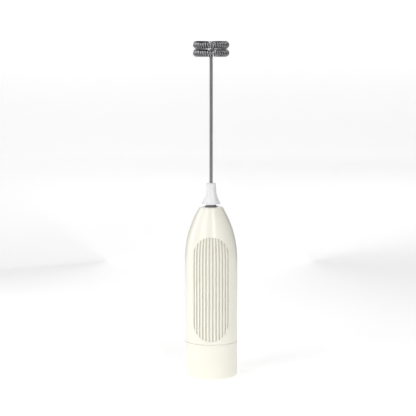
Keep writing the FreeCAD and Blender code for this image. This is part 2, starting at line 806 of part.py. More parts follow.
def cap_contact_bridge():
    floor = size.cap_floor
    half = size.contact_width / 2
    reach = size.cell_offset + 4.6
    plate = box(
        "bridge_plate", (-reach, reach), (-half, half), (floor, floor + size.sheet_metal)
    )
    top = floor + size.sheet_metal
    dimple = cone("bridge_dimple", 2.2, 1.4, top, top + size.dimple_height, size.cell_offset)
    return finish(fuse("cap_contact_bridge", plate, dimple))


# ---------------------------------------------------------------- motor and its holder


def motor_holder():
    """A cradle that the motor snaps into from the front, on two standoffs."""
    floor = bulkhead_top() + size.standoff_height
    flange_top = floor + size.flange_height
    bell = size.motor_bottom - size.bell_height
    roof = size.motor_top + size.holder_wall
    block = flatted("holder_block", size.holder_radius, size.holder_flat, floor, roof)
    flange = cylinder("holder_flange", size.flange_radius, floor, flange_top)
    standoffs, pilots = [], []
    for side, sign in (("left", -1), ("right", 1)):
        x = size.screw_offset * sign
        standoffs.append(
            cylinder(f"holder_standoff_{side}", size.standoff_radius, bulkhead_top(), floor, x)
        )
        pilots.append(
            cylinder(f"holder_pilot_{side}", size.screw_radius + size.hole_play,
                     bulkhead_top() - 1, flange_top + 1, x)
        )
    play = size.hole_play
    pocket = flatted(
        "holder_pocket", size.can_radius + play, size.can_flat + play, bell, size.motor_top
    )
    throat = cylinder("holder_throat", size.holder_throat, floor - 1, bell + 1)
    hole = cylinder("holder_nose", size.boss_radius + 0.3, size.motor_top - 1, roof + 1)
    front = -(size.holder_flat + 1)
    mouth = box("holder_mouth", (-size.mouth_half, size.mouth_half), (front, 0),
                (size.motor_bottom, size.motor_top - size.mouth_lintel))
    notch = box("holder_lead_notch", (-size.notch_half, size.notch_half),
                (size.holder_flat, size.notch_outer), (floor - 1, flange_top + 1))
    form = fuse("holder_form", block, flange, *standoffs)
    return finish(cut("motor_holder", form, pocket, throat, hole, mouth, notch, *pilots))


def holder_screws():
    """Two screws with cross slots, up through the bulkhead into the standoffs."""
    screws = []
    under = size.bulkhead_level
    reach, half = size.slot_length / 2, size.screw_slot / 2
    for side, sign in (("left", -1), ("right", 1)):
        x = size.screw_offset * sign
        thread = cylinder(f"screw_thread_{side}", size.screw_radius, under - 0.2,
                          under + size.screw_length, x)
        head = cylinder(f"screw_head_{side}", size.screw_head, under - size.head_height, under, x)
        depth = (under - size.head_height - 1, under - size.head_height / 2)
        slots = [
            box(f"screw_slot_a_{side}", (x - reach, x + reach), (-half, half), depth),
            box(f"screw_slot_b_{side}", (x - half, x + half), (-reach, reach), depth),
        ]
        screws.append(cut(f"screw_{side}", fuse(f"screw_form_{side}", thread, head), *slots))
    return finish(group("holder_screws", *screws))


def motor_can():
    wall = size.can_wall
    bottom, top = size.motor_bottom, size.motor_top
    shell = flatted("can_outside", size.can_radius, size.can_flat, bottom, top)
    hollow = flatted("can_inside", size.can_radius - wall, size.can_flat - wall,
                     bottom - 1, top - wall)
    boss = cylinder("can_boss", size.boss_radius, top - wall, top + size.boss_height)
    cup = cut("can_cup", shell, hollow)
    bore = cylinder("can_bush_hole", size.bush_radius, top - 1, top + 3)
    return finish(cut("motor_can", fuse("can_form", cup, boss), bore))


def magnets():
    bottom = size.magnet_bottom
    top = bottom + size.magnet_length
    for side, sign in (("left", -1), ("right", 1)):
        outer = cylinder(f"magnet_outside_{side}", size.magnet_outer, bottom, top)
        inner = cylinder(f"magnet_inside_{side}", size.magnet_inner, bottom - 1, top + 1)
        x_span = (0, size.can_radius) if sign > 0 else (-size.can_radius, 0)
        half = size.magnet_half
        sector = box(f"magnet_sector_{side}", x_span, (-half, half), (bottom, top))
        ring = cut(f"magnet_ring_{side}", outer, inner)
        finish(common(f"magnet_{side}", ring, sector))


def end_bell():
    """The plastic end of the motor, which holds the rear bush and the brushes."""
    bottom = size.motor_bottom - size.bell_height
    plate = flatted("bell_plate", size.can_radius, size.can_flat, bottom, size.motor_bottom)
    wall = size.can_wall + size.hole_play
    plug = flatted("bell_plug", size.can_radius - wall, size.can_flat - wall, size.motor_bottom,
                   size.motor_bottom + size.plug_height)
    bush_hole = cylinder("bell_bush_hole", size.bush_radius, bottom - 1, bottom + size.bush_height)
    shaft_hole = cylinder("bell_shaft_hole", size.shaft_radius + 0.4, bottom,
                          size.motor_bottom + size.plug_height + 1)
    return finish(cut("end_bell", fuse("bell_form", plate, plug), bush_hole, shaft_hole))


def bushes():
    bore = size.shaft_radius + size.shaft_play
    rear = size.motor_bottom - size.bell_height
    finish(tube("rear_bush", size.bush_radius, bore, rear, rear + size.bush_height))
    front = size.motor_top + size.boss_height
    finish(tube("front_bush", size.bush_radius, bore, front - size.bush_height, front))


def brushes():
    """A carbon block on a leaf that stands on the end bell."""
    foot = size.motor_bottom + size.plug_height
    middle = size.commutator_bottom + size.commutator_length / 2
    half = size.brush_width / 2
    inner = size.commutator_radius + size.brush_gap
    outer = inner + size.brush_depth
    for side, sign in (("left", -1), ("right", 1)):
        block_span = (inner, outer) if sign > 0 else (-outer, -inner)
        edge = outer + size.leaf_thickness
        leaf_span = (outer, edge) if sign > 0 else (-edge, -outer)
        block = box(f"brush_block_{side}", block_span, (-half, half),
                    (middle - half, middle + half))
        leaf = box(f"brush_leaf_{side}", leaf_span, (-half, half), (foot, middle + half))
        finish(fuse(f"brush_{side}", block, leaf))


def motor_terminals():
    top = size.motor_bottom - size.bell_height
    tabs = []
    for side, sign in (("left", -1), ("right", 1)):
        middle = size.terminal_offset * sign
        thin, half = size.sheet_metal / 2, size.terminal_width / 2
        tab = box(f"terminal_tab_{side}", (middle - thin, middle + thin), (-half, half),
                  (top - size.terminal_length, top))
        eye = doc.addObject("Part::Cylinder", f"terminal_eye_{side}")
        bind(eye, "Radius", size.terminal_eye)
        bind(eye, "Height", 2)
        place(eye, middle - 1, 0, top - size.terminal_length + 0.9, ALONG_X)
        tabs.append(cut(f"terminal_{side}", tab, eye))
    return finish(group("motor_terminals", *tabs))


def noise_capacitor():
    """A small disc across the motor's terminals, with its two legs."""
    level = size.motor_bottom - size.bell_height - 2.4
    front = size.capacitor_front
    disc = cross_cylinder("capacitor_disc", size.capacitor_radius, front,
                          front + size.capacitor_thickness, level)
    legs = doc.addObject("Part::Cylinder", "capacitor_legs")
    reach = size.terminal_offset - size.sheet_metal / 2
    bind(legs, "Radius", size.capacitor_leg)
    bind(legs, "Height", reach * 2)
    place(legs, -reach, front + size.capacitor_thickness / 2, level, ALONG_X)
    return finish(fuse("noise_capacitor", disc, legs))


def rotor():
    """The shaft and what turns with it inside the motor."""
    finish(cylinder("motor_shaft", size.shaft_radius, size.shaft_bottom, size.shaft_top))
    bottom, top = size.core_bottom, size.core_bottom + size.core_length
    disc = cylinder("core_disc", size.core_outer, bottom, top)
    cutters = [cylinder("core_shaft_hole", size.shaft_radius, bottom - 1, top + 1)]
    for pole in range(POLES):
        turn = 30 + 360 / POLES * pole
        angle = math.radians(turn)
        x, y = size.pocket_offset * math.cos(angle), size.pocket_offset * math.sin(angle)
        cutters.append(cylinder(f"core_pocket_{pole}", size.pole_pocket, bottom - 1, top + 1, x, y))
        half = size.pole_gap / 2
        gap = box(f"core_gap_{pole}", (0, 3), (0, size.pole_gap), (bottom - 1, top + 1))
        gap.Placement.Rotation = FreeCAD.Rotation(Z_AXIS, turn)
        start = size.core_outer - 2
        bind(gap, "Placement.Base.x", start * math.cos(angle) + half * math.sin(angle))
        bind(gap, "Placement.Base.y", start * math.sin(angle) - half * math.cos(angle))
        cutters.append(gap)
    core = finish(cut("armature_core", disc, *cutters))
    over = size.winding_overhang
    wound = cylinder("winding_round", size.winding_radius, bottom - over, top + over)
    through = cylinder("winding_shaft_hole", size.shaft_radius, bottom - 3, top + 3)
    finish(cut("armature_windings", wound, core, through))
    low = size.commutator_bottom
    high = low + size.commutator_length
    barrel = cylinder("commutator_barrel", size.commutator_radius, low, high)
    hole = cylinder("commutator_hole", size.shaft_radius, low - 1, high + 1)
    grooves = []
    start, half = size.commutator_radius - size.segment_depth, size.segment_gap / 2
    for segment in range(POLES):
        groove = box(f"commutator_groove_{segment}", (0, 1), (0, size.segment_gap),
                     (low - 1, high + 1))
        turn = 90 + 360 / POLES * segment
        groove.Placement.Rotation = FreeCAD.Rotation(Z_AXIS, turn)
        angle = math.radians(turn)
        bind(groove, "Placement.Base.x", start * math.cos(angle) + half * math.sin(angle))
        bind(groove, "Placement.Base.y", start * math.sin(angle) - half * math.cos(angle))
        grooves.append(groove)
    finish(cut("commutator", barrel, hole, *grooves))


def drive_hub():
    """The steel hub on the shaft, with the hexagon that the whisk plugs onto."""
    flange = cylinder("hub_flange", size.hub_radius, size.hub_bottom, size.hub_top)
    stem = hexagon("hub_hexagon", size.hex_flats, size.hub_top, size.hub_top + size.hex_height)
    bore = cylinder("hub_bore", size.shaft_radius, size.hub_bottom - 1, size.shaft_top)
    return finish(cut("drive_hub", fuse("hub_form", flange, stem), bore))


# ---------------------------------------------------------------- whisk


def hollow_centre(start, end, radius):
    """The centre of an arc from start to end that hollows a side, in the plane of X and Z."""
    across, along = end[0] - start[0], end[1] - start[1]
    length = (across * across + along * along).root()
    reach = (radius * radius - length * length / 4).root() / length
    return (start[0] + across / 2 + along * reach, start[1] + along / 2 - across * reach)


def whisk_collar():
    """The plastic collar that carries the whisk, with shallow flutes, each under a notch."""
    body = new_body("collar_form")
    bottom, top = size.collar_bottom, size.collar_top
    rim = bottom + size.rim_height
    chamfer = size.collar_chamfer
    foot, neck = (size.cone_foot, rim), (size.neck_foot, size.cone_top)
    centre = hollow_centre(foot, neck, size.cone_hollow)
    corners = [
        (0, bottom), (size.collar_rim, bottom), (size.collar_rim, rim - 0.2),
        (size.collar_rim - 0.2, rim), foot + (centre,), neck,
        (size.neck_radius, top - chamfer), (size.neck_radius - chamfer, top), (0, top),
    ]
    turned(body, "collar_turning", corners)
    flutes, notches = [], []
    for number in range(FLUTES):
        angle = 360 / FLUTES * number - 90
        outward = math.cos(math.radians(angle)), math.sin(math.radians(angle))
        # a ring that lies along the hollow side and bites into it
        flute = doc.addObject("Part::Torus", f"flute_{number}")
        bind(flute, "Radius1", size.cone_hollow - size.flute_radius + size.flute_depth)
        bind(flute, "Radius2", size.flute_radius)
        turn = FreeCAD.Rotation(Z_AXIS, angle) * FreeCAD.Rotation(X_AXIS, 90)
        place(flute, centre[0] * outward[0], centre[0] * outward[1], centre[1], turn)
        flutes.append(flute)
        reach = size.neck_radius + size.flute_radius - size.notch_depth
        notches.append(cylinder(f"notch_{number}", size.flute_radius, size.notch_foot,
                                size.notch_tip, reach * outward[0], reach * outward[1]))
    band = cylinder("flute_band", size.collar_rim + 1, size.flute_foot, size.flute_tip)
    fluting = common("collar_fluting", fuse("flutes", *flutes), band)
    skirt = cylinder("collar_skirt", size.skirt_radius, bottom - 1, bottom + size.skirt_depth)
    socket = hexagon("collar_socket", size.hex_flats + 2 * size.socket_play, bottom,
                     size.socket_top)
    bore = cylinder("collar_bore", size.shaft_radius, size.wire_bottom, top + 1)
    return finish(cut("whisk_collar", body, fluting, *notches, skirt, socket, bore))


def ring_stations(ring, level, start, stop, rise=0.0, count=8):
    """Stations round part of a ring, going clockwise, and climbing evenly if rise is given."""
    stations = []
    for step in range(count + 1):
        share = step / count
        angle = start + (stop - start) * share
        # a smooth climb starts and ends level
        climb = rise * (share - math.sin(2 * math.pi * share) / (2 * math.pi))
        pace = rise * (1 - math.cos(2 * math.pi * share))
        speed = Vector(math.sin(angle), -math.cos(angle), 0) * ring * (start - stop)
        speed.z = pace
        point = Vector(ring * math.cos(angle), ring * math.sin(angle), level + climb)
        stations.append((point, speed.normalize()))
    return stations


def turned_back(degrees):
    """An angle in radians, less a full turn if it is past 90 degrees: the wire goes clockwise."""
    radians = math.radians(degrees.number)
    return radians - 2 * math.pi if degrees.number > 90 else radians


def whisk_wire():
    """One wire: up the axis, out to the lower ring, round it, up, and round the upper ring."""
    ring, bend = size.ring_radius.number, size.ring_bend.number
    lower, upper = size.lower_ring.number, size.upper_ring.number
    turn = size.shaft_bend.number
    centre_y = math.sqrt((ring - bend) ** 2 - bend ** 2)
    joining = math.atan2(centre_y, bend)
    first = Vector(0, 0, size.wire_bottom.number)
    up_end = Vector(0, 0, lower - turn)
    out_start = Vector(0, turn, lower)
    out_end = Vector(0, centre_y, lower)
    on_ring = Vector(ring * math.cos(joining), ring * math.sin(joining), lower)
    edges = [
        Part.LineSegment(first, up_end).toShape(),
        arc_edge(up_end, Z_AXIS, out_start),
        Part.LineSegment(out_start, out_end).toShape(),
        arc_edge(out_end, Vector(0, 1, 0), on_ring),
    ]
    full = 2 * math.pi
    leave, join = turned_back(size.climb_start), turned_back(size.climb_end)
    edges += arc_chain(ring_stations(ring, lower, joining, leave))
    edges += arc_chain(ring_stations(ring, lower, leave, join - full, upper - lower))
    edges += arc_chain(ring_stations(ring, upper, join, turned_back(size.wire_end)))
    wire_piece("whisk_wire", edges, size.shaft_radius.number)


def whisk_coils():
    ring, coil = size.ring_radius.number, size.coil_radius.number
    end = turned_back(size.coil_end)
    rings = (
        ("lower_coil", size.lower_ring, size.lower_coil_start),
        ("upper_coil", size.upper_ring, size.upper_coil_start),
    )
    for name, level, first in rings:
        start = math.radians(first.number)
        turns = round(ring * (start - end) / size.coil_pitch.number)
        edges = arc_chain(ring_coil_stations(ring, coil, start, end - start, turns))
        wire_piece(name, edges, size.coil_wire.number, level.number)


# ---------------------------------------------------------------- power button and switch


def button_cap():
    """The push button, whose face follows the shoulder of the handle."""
    level = size.button_level
    hull = shoulder_solid("button_hull", level - 9, level + 9, size.button_proud)
    plug = cross_cylinder("button_plug", size.button_radius, size.flange_inner,
                          size.handle_radius + 2, level)
    crown = common("button_crown", hull, plug)
    flange = cross_cylinder("button_flange", size.button_flange, size.flange_inner,
                            size.flange_outer, level)
    recess = cross_cylinder("button_recess", size.button_bore, size.flange_inner - 1,
                            size.button_roof, level)
    shell = cut("button_shell", fuse("button_form", crown, flange), recess)
    stem = cross_cylinder("button_stem", size.stem_radius, size.plunger_outer,
                          size.button_roof + 0.2, level)
    return finish(fuse("button_cap", shell, stem))


def switch_parts():
    """The board on the back of the motor holder, with its push switch."""
    level = size.button_level
    back = size.holder_flat
    front = back + size.board_thickness
    half = size.switch_half
    board = size.board_half
    finish(box("switch_board", (-board, board), (back, front), (size.board_bottom, size.board_top)))
    case = box("switch_case", (-half, half), (front, size.switch_face),
               (level - half, level + half))
    well = cross_cylinder("switch_well", size.plunger_radius + size.plunger_play, size.well_floor,
                          size.switch_face + 1, level)
    finish(cut("switch_housing", case, well))
    pins = []
    for number, (x_sign, z_sign) in enumerate(((-1, -1), (-1, 1), (1, -1), (1, 1))):
        reach = half + size.pin_reach
        x_span = (half, reach) if x_sign > 0 else (-reach, -half)
        middle = level + size.pin_offset * z_sign
        thin = size.pin_width / 2
        pins.append(box(f"switch_pin_{number}", x_span, (front, front + size.pin_thickness),
                        (middle - thin, middle + thin)))
    finish(group("switch_pins", *pins))
    finish(cross_cylinder("switch_plunger", size.plunger_radius, size.plunger_inner,
                          size.plunger_outer, level))


def button_spring():
    """The button's return spring, standing on the switch along +Y."""
    wire = size.return_wire.number
    rise = (size.button_roof - size.switch_face).number - 2 * wire
    radius = size.return_radius.number
    edges = arc_chain(coil_stations(3, radius, radius, rise))
    feature = wire_piece("button_spring", edges, wire)
    spot = Vector(0, size.switch_face.number + wire, size.button_level.number)
    feature.Placement = FreeCAD.Placement(spot, ALONG_Y)
    return feature


# ---------------------------------------------------------------- wiring


def leads():
    """Three leads: cell to switch, switch to motor, and motor back to cell."""
    shelf = bulkhead_top().number + 1.1
    radius = size.lead_radius.number
    on_board = (size.holder_flat + size.board_thickness).number + radius
    board = size.board_bottom.number + 2
    tab = (size.tab_reach - size.sheet_metal / 2).number - radius
    terminal = (size.terminal_offset + size.sheet_metal / 2).number + radius
    plug = (size.motor_bottom - size.bell_height).number - 1.3
    behind = on_board + 0.8
    routes = {
        "lead_red": [(-tab, 0.2, shelf), (-tab, 6.0, shelf), (-3.4, behind, shelf),
                     (-3.4, on_board, board)],
        "lead_switch": [(3.4, on_board, board), (3.4, behind, shelf), (terminal, 5.0, shelf),
                        (terminal, 0.4, plug)],
        "lead_black": [(tab, -0.2, shelf), (tab - 1.2, -5.0, shelf), (0.0, -6.6, shelf - 0.2),
                       (-terminal - 0.3, -4.6, shelf), (-terminal, -0.4, plug)],
    }
    for name, points in routes.items():
        wire_piece(name, rounded_runs([Vector(*point) for point in points]), radius)


# ---------------------------------------------------------------- build and export

handle_shell()
battery_cap()
cap_seal()
nose_seal()
battery_carriage()
cells()
top_contact("positive_contact", -1)
top_contact("negative_contact", 1)
contact_springs()
cap_contact_bridge()
motor_holder()
holder_screws()
motor_can()
magnets()
end_bell()
bushes()
brushes()
motor_terminals()
noise_capacitor()
rotor()
drive_hub()
whisk_collar()
whisk_wire()
whisk_coils()
button_cap()
switch_parts()
button_spring()
leads()
doc.recompute()

for item in doc.Objects:
    if "Invalid" in item.State or "Error" in item.State:
        raise ValueError(f"{item.Label} failed: {item.State}")
for piece in pieces:
    if piece.Shape.isNull() or not piece.Shape.isValid() or not piece.Shape.Solids:
        raise ValueError(f"{piece.Label} has no valid solid")

os.makedirs("parts", exist_ok=True)
for piece in pieces:
    piece.Shape.exportStep(f"parts/{piece.Label}.step")
    print(f"{piece.Label}: {len(piece.Shape.Solids)} solid(s), {piece.Shape.Volume:.1f} mm3")
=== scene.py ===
"""Looks of a battery milk frother: its finishes, its smallest parts, and a studio round it."""

import math

import bmesh
import bpy
from bpy.props import FloatProperty, FloatVectorProperty, IntProperty, PointerProperty
from mathutils import Matrix, Vector


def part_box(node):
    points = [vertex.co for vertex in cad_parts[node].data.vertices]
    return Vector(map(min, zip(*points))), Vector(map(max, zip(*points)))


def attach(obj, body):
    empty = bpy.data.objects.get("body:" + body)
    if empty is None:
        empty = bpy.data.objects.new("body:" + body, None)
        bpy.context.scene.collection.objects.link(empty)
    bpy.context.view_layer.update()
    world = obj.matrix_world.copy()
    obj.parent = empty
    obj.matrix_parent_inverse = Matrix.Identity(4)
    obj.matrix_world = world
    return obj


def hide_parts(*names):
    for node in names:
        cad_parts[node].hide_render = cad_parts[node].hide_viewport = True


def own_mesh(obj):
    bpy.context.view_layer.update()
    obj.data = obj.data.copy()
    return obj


bl_info = {
    "name": "Milk Frother",
    "version": (1, 0, 0),
    "blender": (4, 5, 0),
    "location": "3D View > Sidebar > Frother",
    "description": "Finishes and small parts of a battery milk frother, and the studio round it",
    "category": "Object",
}

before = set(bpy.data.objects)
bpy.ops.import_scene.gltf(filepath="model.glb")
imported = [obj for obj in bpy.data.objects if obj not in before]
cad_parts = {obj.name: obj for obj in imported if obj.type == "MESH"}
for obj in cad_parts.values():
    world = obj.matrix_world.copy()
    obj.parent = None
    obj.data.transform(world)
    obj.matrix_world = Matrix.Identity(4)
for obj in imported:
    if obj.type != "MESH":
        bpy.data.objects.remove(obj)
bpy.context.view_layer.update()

MM = 0.001

SHELL_LOW, SHELL_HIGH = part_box("handle_shell")
HANDLE_RADIUS = SHELL_HIGH.x
NOSE_RADIUS = 7.0 * MM
SHOULDER_LEVEL = SHELL_LOW.z + 51.2 * MM
SHOULDER_FALL = HANDLE_RADIUS - NOSE_RADIUS
SHOULDER_RISE = SHELL_HIGH.z - SHOULDER_LEVEL
SHOULDER_BEND = (SHOULDER_FALL ** 2 + SHOULDER_RISE ** 2) / (2 * SHOULDER_FALL)

# the grooves lie in front of these two levels of Y, and their floors between these two depths; the
# grooves' painted shade follows both
GROOVES_FRONT, GROOVES_BACK = -9.0 * MM, -7.0 * MM
GROOVE_LIP, GROOVE_FLOOR = 0.2 * MM, 0.65 * MM

WIRE_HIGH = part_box("whisk_wire")[1]
WIRE_RADIUS = 1.0 * MM
RING_RADIUS = WIRE_HIGH.x - WIRE_RADIUS

# where the leads meet the board, and the sheet that the contacts are pressed from
LEAD_ASIDE = 3.4 * MM
LEAD_HEIGHT = 2.0 * MM
SHEET = 0.4 * MM

# an AA cell as it is drawn below
CELL_RADIUS = 7.1
CELL_LENGTH = 50.5
CELL_STEPS = 96

# the button's return spring
SPRING_WIRE = 0.16 * MM
SPRING_STEPS = 40
SPRING_CLOSING = 0.75

# the paper cove
COVE_RADIUS = 2.6
COVE_HEIGHT = 2.4
COVE_BEND = 0.8
BEND_STEPS = 24

# the cards' near and far edges, aside and behind, and how far they reach up from their foot
CARD_NEAR = (0.10, 0.46)
CARD_FAR = (0.42, 0.30)
CARD_FOOT = -0.1
CARD_RISE = Vector((0.0, 0.0, 0.7))


def middle_of(node):
    low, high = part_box(node)
    return (low + high) / 2


# ---------------------------------------------------------------- settings


def colour(name, default, note):
    return FloatVectorProperty(
        name=name, description=note, subtype="COLOR", size=3, min=0.0, max=1.0, default=default
    )


def share(name, default, note):
    return FloatProperty(
        name=name, description=note, subtype="FACTOR", min=0.0, max=1.0, default=default
    )


def length(name, default, note):
    return FloatProperty(name=name, description=note, unit="LENGTH", default=default)


class HandleSettings(bpy.types.PropertyGroup):
    plastic: colour("Cream plastic", (0.90, 0.885, 0.785), "Colour of the handle's plastic")
    shade: colour("Shaded cream", (0.86, 0.835, 0.72), "Colour that the plastic drifts to")
    # painted shade: the darker colour at the bottoms of the finger grooves, where shade falls
    groove_shade: colour("Groove", (0.72, 0.70, 0.60), "Colour at the bottom of the finger grooves")
    gloss: share("Roughness", 0.30, "Roughness of the handle's plastic")
    rubber: colour("Seals", (0.045, 0.045, 0.05), "Colour of the two rubber seals")


class WhiskSettings(bpy.types.PropertyGroup):
    collar: colour("Collar plastic", (0.84, 0.84, 0.85), "Colour of the whisk's collar")
    steel: colour("Steel", (0.36, 0.36, 0.37), "Colour of the whisk's wire")
    coil: colour("Coil steel", (0.36, 0.36, 0.37), "Colour of the coils' outer side")
    # painted shade: the dark colour between the coils' turns, on their inner side
    hollow_shade: colour("Steel in its hollows", (0.03, 0.03, 0.034), "Colour between the coils' turns")
    hub: colour("Hub steel", (0.30, 0.28, 0.31), "Colour of the drive hub")


class PowerSettings(bpy.types.PropertyGroup):
    wrap: colour("Cell wrap", (0.07, 0.16, 0.24), "Colour of the film round a cell")
    band: colour("Cell band", (0.62, 0.64, 0.66), "Colour of the film's end by the nub")
    carriage: colour("Carriage", (0.62, 0.61, 0.57), "Colour of the plastic parts inside")
    board: colour("Board", (0.02, 0.13, 0.05), "Colour of the switch board's lacquer")
    spring_turns: IntProperty(
        name="Spring turns", description="Turns of the button's return spring", default=4, min=2
    )
    solder: length("Solder", 0.55 * MM, "Radius of a soldered joint")


class StudioSettings(bpy.types.PropertyGroup):
    paper: colour("Paper", (0.70, 0.70, 0.70), "Colour of the floor and the wall round it")
    glow_behind: share("Glow behind", 0.61, "Brightness of the paper behind the frother")
    glow_wall: share("Glow of the wall", 0.88, "Brightness of the wall behind the frother")
    glow_before: share("Glow before", 0.17, "Brightness of the paper before the frother")
    air: share("Air", 0.05, "Brightness of the air over the paper")
    eye_level: length("Eye level", WIRE_HIGH.z - 3.5 * MM, "Height of the camera over the floor")
    distance: length("Distance", 0.837, "From the handle's axis to the camera")
    aside: length("Aside", 1.9 * MM, "How far the camera stands to the left")
    tilt: FloatProperty(
        name="Tilt", description="How far the camera looks down", subtype="ANGLE",
        default=math.radians(6.72),
    )
    lens: FloatProperty(
        name="Focal length", description="Focal length in millimetres", default=116.8
    )


# ---------------------------------------------------------------- shader arithmetic


class Level:
    """A shader socket in an expression: arithmetic on levels adds the Math nodes it needs."""

    def __init__(self, paint, socket):
        self.paint = paint
        self.socket = socket

    def math(self, operation, *others):
        sockets = {0: self}
        for number, other in enumerate(others, start=1):
            sockets[number] = other
        return self.paint.node("ShaderNodeMath", {"operation": operation}, sockets)

    def __add__(self, other):
        return self.math("ADD", other)

    __radd__ = __add__

    def __sub__(self, other):
        return self.math("SUBTRACT", other)

    def __rsub__(self, other):
        return self.paint.node("ShaderNodeMath", {"operation": "SUBTRACT"}, {0: other, 1: self})

    def __mul__(self, other):
        return self.math("MULTIPLY", other)

    __rmul__ = __mul__

    def step(self, low, high):
        """0 below low, 1 above high, and smooth between them."""
        settings = {"interpolation_type": "SMOOTHSTEP"}
        sockets = {"Value": self, "From Min": low, "From Max": high}
        return self.paint.node("ShaderNodeMapRange", settings, sockets)

    def band(self, middle, half, soft):
        """1 within half of the middle, and 0 past a soft edge on both sides."""
        away = (self - middle).math("ABSOLUTE")
        return 1.0 - away.step(half - soft, half + soft)


class Paint:
    """A material in the making: its nodes, and the Principled shader that they feed."""

    def __init__(self, name, **constants):
        self.material = bpy.data.materials.new(name)
        self.material.use_nodes = True
        self.tree = self.material.node_tree
        self.tree.nodes.clear()
        output = self.tree.nodes.new("ShaderNodeOutputMaterial")
        self.shader = self.tree.nodes.new("ShaderNodeBsdfPrincipled")
        self.tree.links.new(self.shader.outputs[0], output.inputs["Surface"])
        for socket, value in constants.items():
            self.shader.inputs[socket.replace("_", " ")].default_value = value

    def node(self, kind, settings=None, sockets=None, output=0):
        """One node: its settings first, then the values or links of its sockets."""
        node = self.tree.nodes.new(kind)
        for name, value in (settings or {}).items():
            setattr(node, name, value)
        for name, value in (sockets or {}).items():
            if isinstance(value, Level):
                self.tree.links.new(value.socket, node.inputs[name])
            else:
                node.inputs[name].default_value = value
        return Level(self, node.outputs[output])

    def place(self):
        """Where a point is on the object, in metres."""
        return self.node("ShaderNodeTexCoord", output=3)

    def axis(self, which):
        return self.node("ShaderNodeSeparateXYZ", {}, {0: self.place()}, output="XYZ".index(which))

    def stretched(self, x, y, z, place=None):
        """The place, scaled by a different amount along each axis."""
        sockets = {0: place or self.place(), 1: (x, y, z)}
        return self.node("ShaderNodeVectorMath", {"operation": "MULTIPLY"}, sockets)

    def reach(self, x=0.0, y=0.0):
        """The distance from an upright line."""
        moved = self.node(
            "ShaderNodeVectorMath", {"operation": "SUBTRACT"}, {0: self.place(), 1: (x, y, 0.0)}
        )
        flat = self.stretched(1.0, 1.0, 0.0, moved)
        settings = {"operation": "LENGTH"}
        return self.node("ShaderNodeVectorMath", settings, {0: flat}, output=1)

    def noise(self, scale, detail=2.0, roughness=0.5, place=None):
        sockets = {
            "Vector": place or self.place(), "Scale": scale, "Detail": detail,
            "Roughness": roughness,
        }
        return self.node("ShaderNodeTexNoise", {}, sockets)

    def cells(self, scale, place=None):
        """The distance from the nearest of many scattered points."""
        sockets = {"Vector": place or self.place(), "Scale": scale}
        return self.node("ShaderNodeTexVoronoi", {}, sockets)

    def mix(self, amount, first, second):
        """From the first colour to the second."""
        sockets = {0: amount}
        for number, value in ((6, first), (7, second)):
            sockets[number] = value if isinstance(value, Level) else (*value, 1.0)
        return self.node("ShaderNodeMix", {"data_type": "RGBA"}, sockets, output=2)

    def feed(self, socket, value):
        self.tree.links.new(value.socket, self.shader.inputs[socket])
        return self

    def bump(self, height, strength, distance):
        sockets = {"Height": height, "Strength": strength, "Distance": distance}
        return self.feed("Normal", self.node("ShaderNodeBump", {}, sockets))


def darker(tint, amount):
    return tuple(part * (1.0 - amount) for part in tint)


def finish(material, *names):
    """Give the named CAD nodes one material."""
    for name in names:
        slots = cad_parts[name].data.materials
        slots.clear()
        slots.append(material)
        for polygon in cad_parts[name].data.polygons:
            polygon.material_index = 0


# ---------------------------------------------------------------- materials of the outside


def cream_plastic(settings):
    """Moulded ABS with a satin gloss, a fine spark-eroded grain and painted shade in the grooves'
    bottoms.
    """
    paint = Paint(
        "cream_plastic", Subsurface_Weight=0.08, Subsurface_Scale=1.5 * MM, IOR=1.52,
        Coat_Roughness=0.18,
    )
    paint.shader.inputs["Subsurface Radius"].default_value = (1.0, 0.75, 0.45)
    drift = paint.noise(28.0, 3.0).step(0.42, 0.62)
    tone = paint.mix(drift * 0.12, tuple(settings.plastic), tuple(settings.shade))
    # painted shade: the plastic darkens with the depth into the grooves, on the front only
    above = (paint.axis("Z") - SHOULDER_LEVEL).math("MAXIMUM", 0.0)
    side = (SHOULDER_BEND * SHOULDER_BEND - above * above).math("SQRT")
    depth = HANDLE_RADIUS - SHOULDER_BEND + side - paint.reach()
    groove_shade_mask = depth.step(GROOVE_LIP, GROOVE_FLOOR)
    front = 1.0 - paint.axis("Y").step(GROOVES_FRONT, GROOVES_BACK)
    paint.feed("Base Color", paint.mix(groove_shade_mask * front, tone, tuple(settings.groove_shade)))
    smear = paint.noise(90.0, 4.0, 0.6).step(0.35, 0.75)
    scuffs = paint.noise(1.0, 2.0, 0.5, paint.stretched(900.0, 900.0, 60.0)).step(0.62, 0.72)
    paint.feed("Roughness", settings.gloss + smear * 0.05 + scuffs * 0.04)
    paint.feed("Coat Weight", 0.22 - smear * 0.06)
    grain = paint.noise(5200.0, 2.0, 0.6)
    ripple = paint.noise(120.0, 1.0, 0.4)
    return paint.bump(grain * 0.25 + ripple * 0.6, 0.10, 0.06 * MM).material


def moulded(name, tint, gloss=0.34, glow=0.08):
    """A plain moulded plastic: slightly uneven in colour, with a fine grain."""
    paint = Paint(name, Subsurface_Weight=glow, Subsurface_Scale=1.2 * MM, IOR=1.49)
    paint.shader.inputs["Subsurface Radius"].default_value = (1.0, 0.9, 0.85)
    drift = paint.noise(60.0, 3.0).step(0.38, 0.66)
    paint.feed("Base Color", paint.mix(drift * 0.35, tuple(tint), darker(tint, 0.07)))
    smear = paint.noise(160.0, 3.0).step(0.3, 0.8)
    paint.feed("Roughness", gloss + smear * 0.08)
    return paint.bump(paint.noise(6000.0, 2.0, 0.6), 0.08, 0.05 * MM).material


def rubber(name, tint):
    """Matt rubber with a bloom of dust and a faint moulded grain."""
    paint = Paint(name, IOR=1.5)
    bloom = paint.noise(220.0, 4.0, 0.6).step(0.45, 0.75)
    paint.feed("Base Color", paint.mix(bloom * 0.3, tuple(tint), (0.16, 0.16, 0.16)))
    paint.feed("Roughness", 0.62 + bloom * 0.2)
    return paint.bump(paint.noise(3500.0, 2.0, 0.6), 0.2, 0.05 * MM).material


